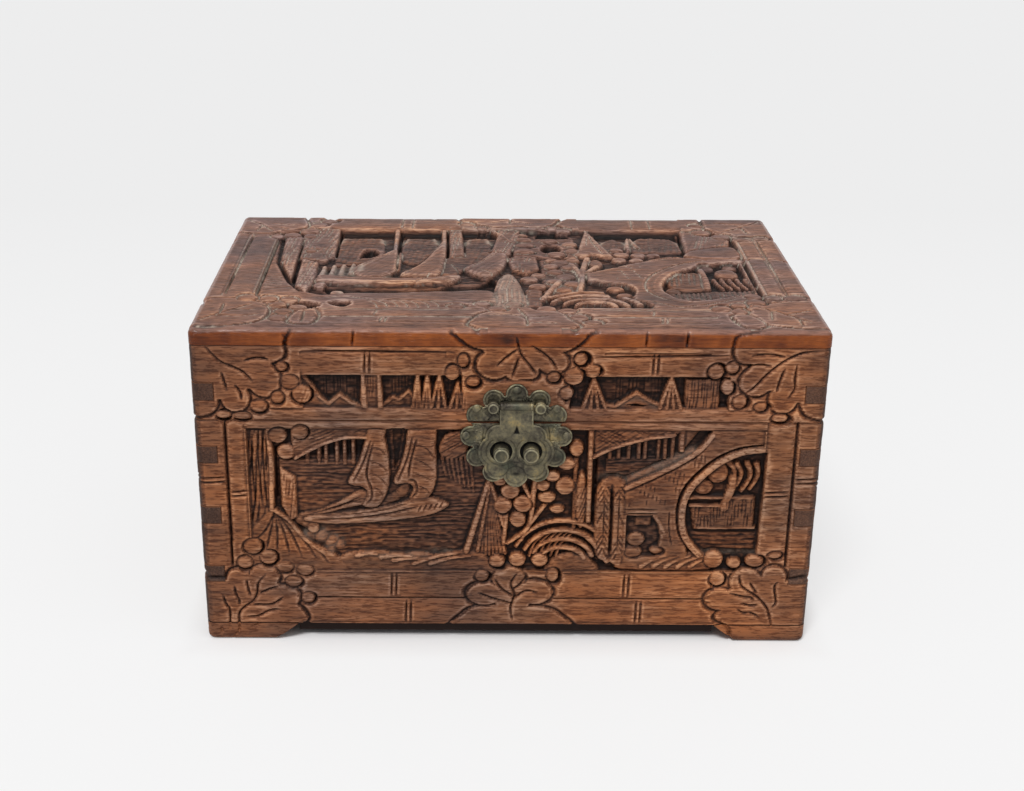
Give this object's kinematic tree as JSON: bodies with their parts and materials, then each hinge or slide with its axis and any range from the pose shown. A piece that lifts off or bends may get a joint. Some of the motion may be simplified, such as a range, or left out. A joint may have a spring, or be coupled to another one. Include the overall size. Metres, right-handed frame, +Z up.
{
  "type": "carved wooden box",
  "caption": "Rectangular carved wooden box on corner feet, with a hinged lid, a scalloped brass lock plate and a swinging hasp.",
  "frame": {"origin": "under the middle of the whole object's box, on the surface that the feet stand on", "axes": "+Z up; +X to the right of someone who faces the lock; the lock and hasp face -Y"},
  "size_m": [0.3, 0.2, 0.1662],
  "materials": {
    "carved_wood": "worn waxed camphor wood",
    "base_wood": "dark plain wood",
    "brass": "patinated brass"
  },
  "bodies": {
    "body": {"body_front_board": "carved_wood", "body_back_board": "carved_wood", "body_left_board": "carved_wood", "body_right_board": "carved_wood", "bottom_board": "base_wood", "foot_front_left": "carved_wood", "foot_front_right": "carved_wood", "foot_back_left": "carved_wood", "foot_back_right": "carved_wood", "lock_plate_lower": "brass", "lower_plate_nail_1": "brass", "lower_plate_nail_2": "brass", "staple_post_1": "brass", "staple_post_2": "brass", "hinge_left_lower_leaf": "brass", "hinge_left_pin": "brass", "hinge_left_lower_screw_1": "brass", "hinge_left_lower_screw_2": "brass", "hinge_right_lower_leaf": "brass", "hinge_right_pin": "brass", "hinge_right_lower_screw_1": "brass", "hinge_right_lower_screw_2": "brass"},
    "lid": {"lid_top_board": "carved_wood", "lid_front_board": "carved_wood", "lid_back_board": "carved_wood", "lid_left_board": "carved_wood", "lid_right_board": "carved_wood", "lock_plate_upper": "brass", "upper_plate_nail_1": "brass", "upper_plate_nail_2": "brass", "upper_plate_nail_3": "brass", "hasp_eye_post_1": "brass", "hasp_eye_post_2": "brass", "hasp_pin": "brass", "hinge_left_upper_leaf": "brass", "hinge_left_upper_screw_1": "brass", "hinge_left_upper_screw_2": "brass", "hinge_right_upper_leaf": "brass", "hinge_right_upper_screw_1": "brass", "hinge_right_upper_screw_2": "brass"},
    "hasp": {"hasp": "brass"}
  },
  "joints": [
    {"name": "lid_open", "type": "hinge", "parent": "body", "child": "lid", "pos_m": [0, 0.09695, 0.1197], "axis": [-1, 0, 0], "range_deg": [0, 95]},
    {"name": "hasp_swing", "type": "hinge", "parent": "lid", "child": "hasp", "pos_m": [0.0035, -0.09515, 0.1291], "axis": [-1, 0, 0], "range_deg": [0, 170]}
  ]
}
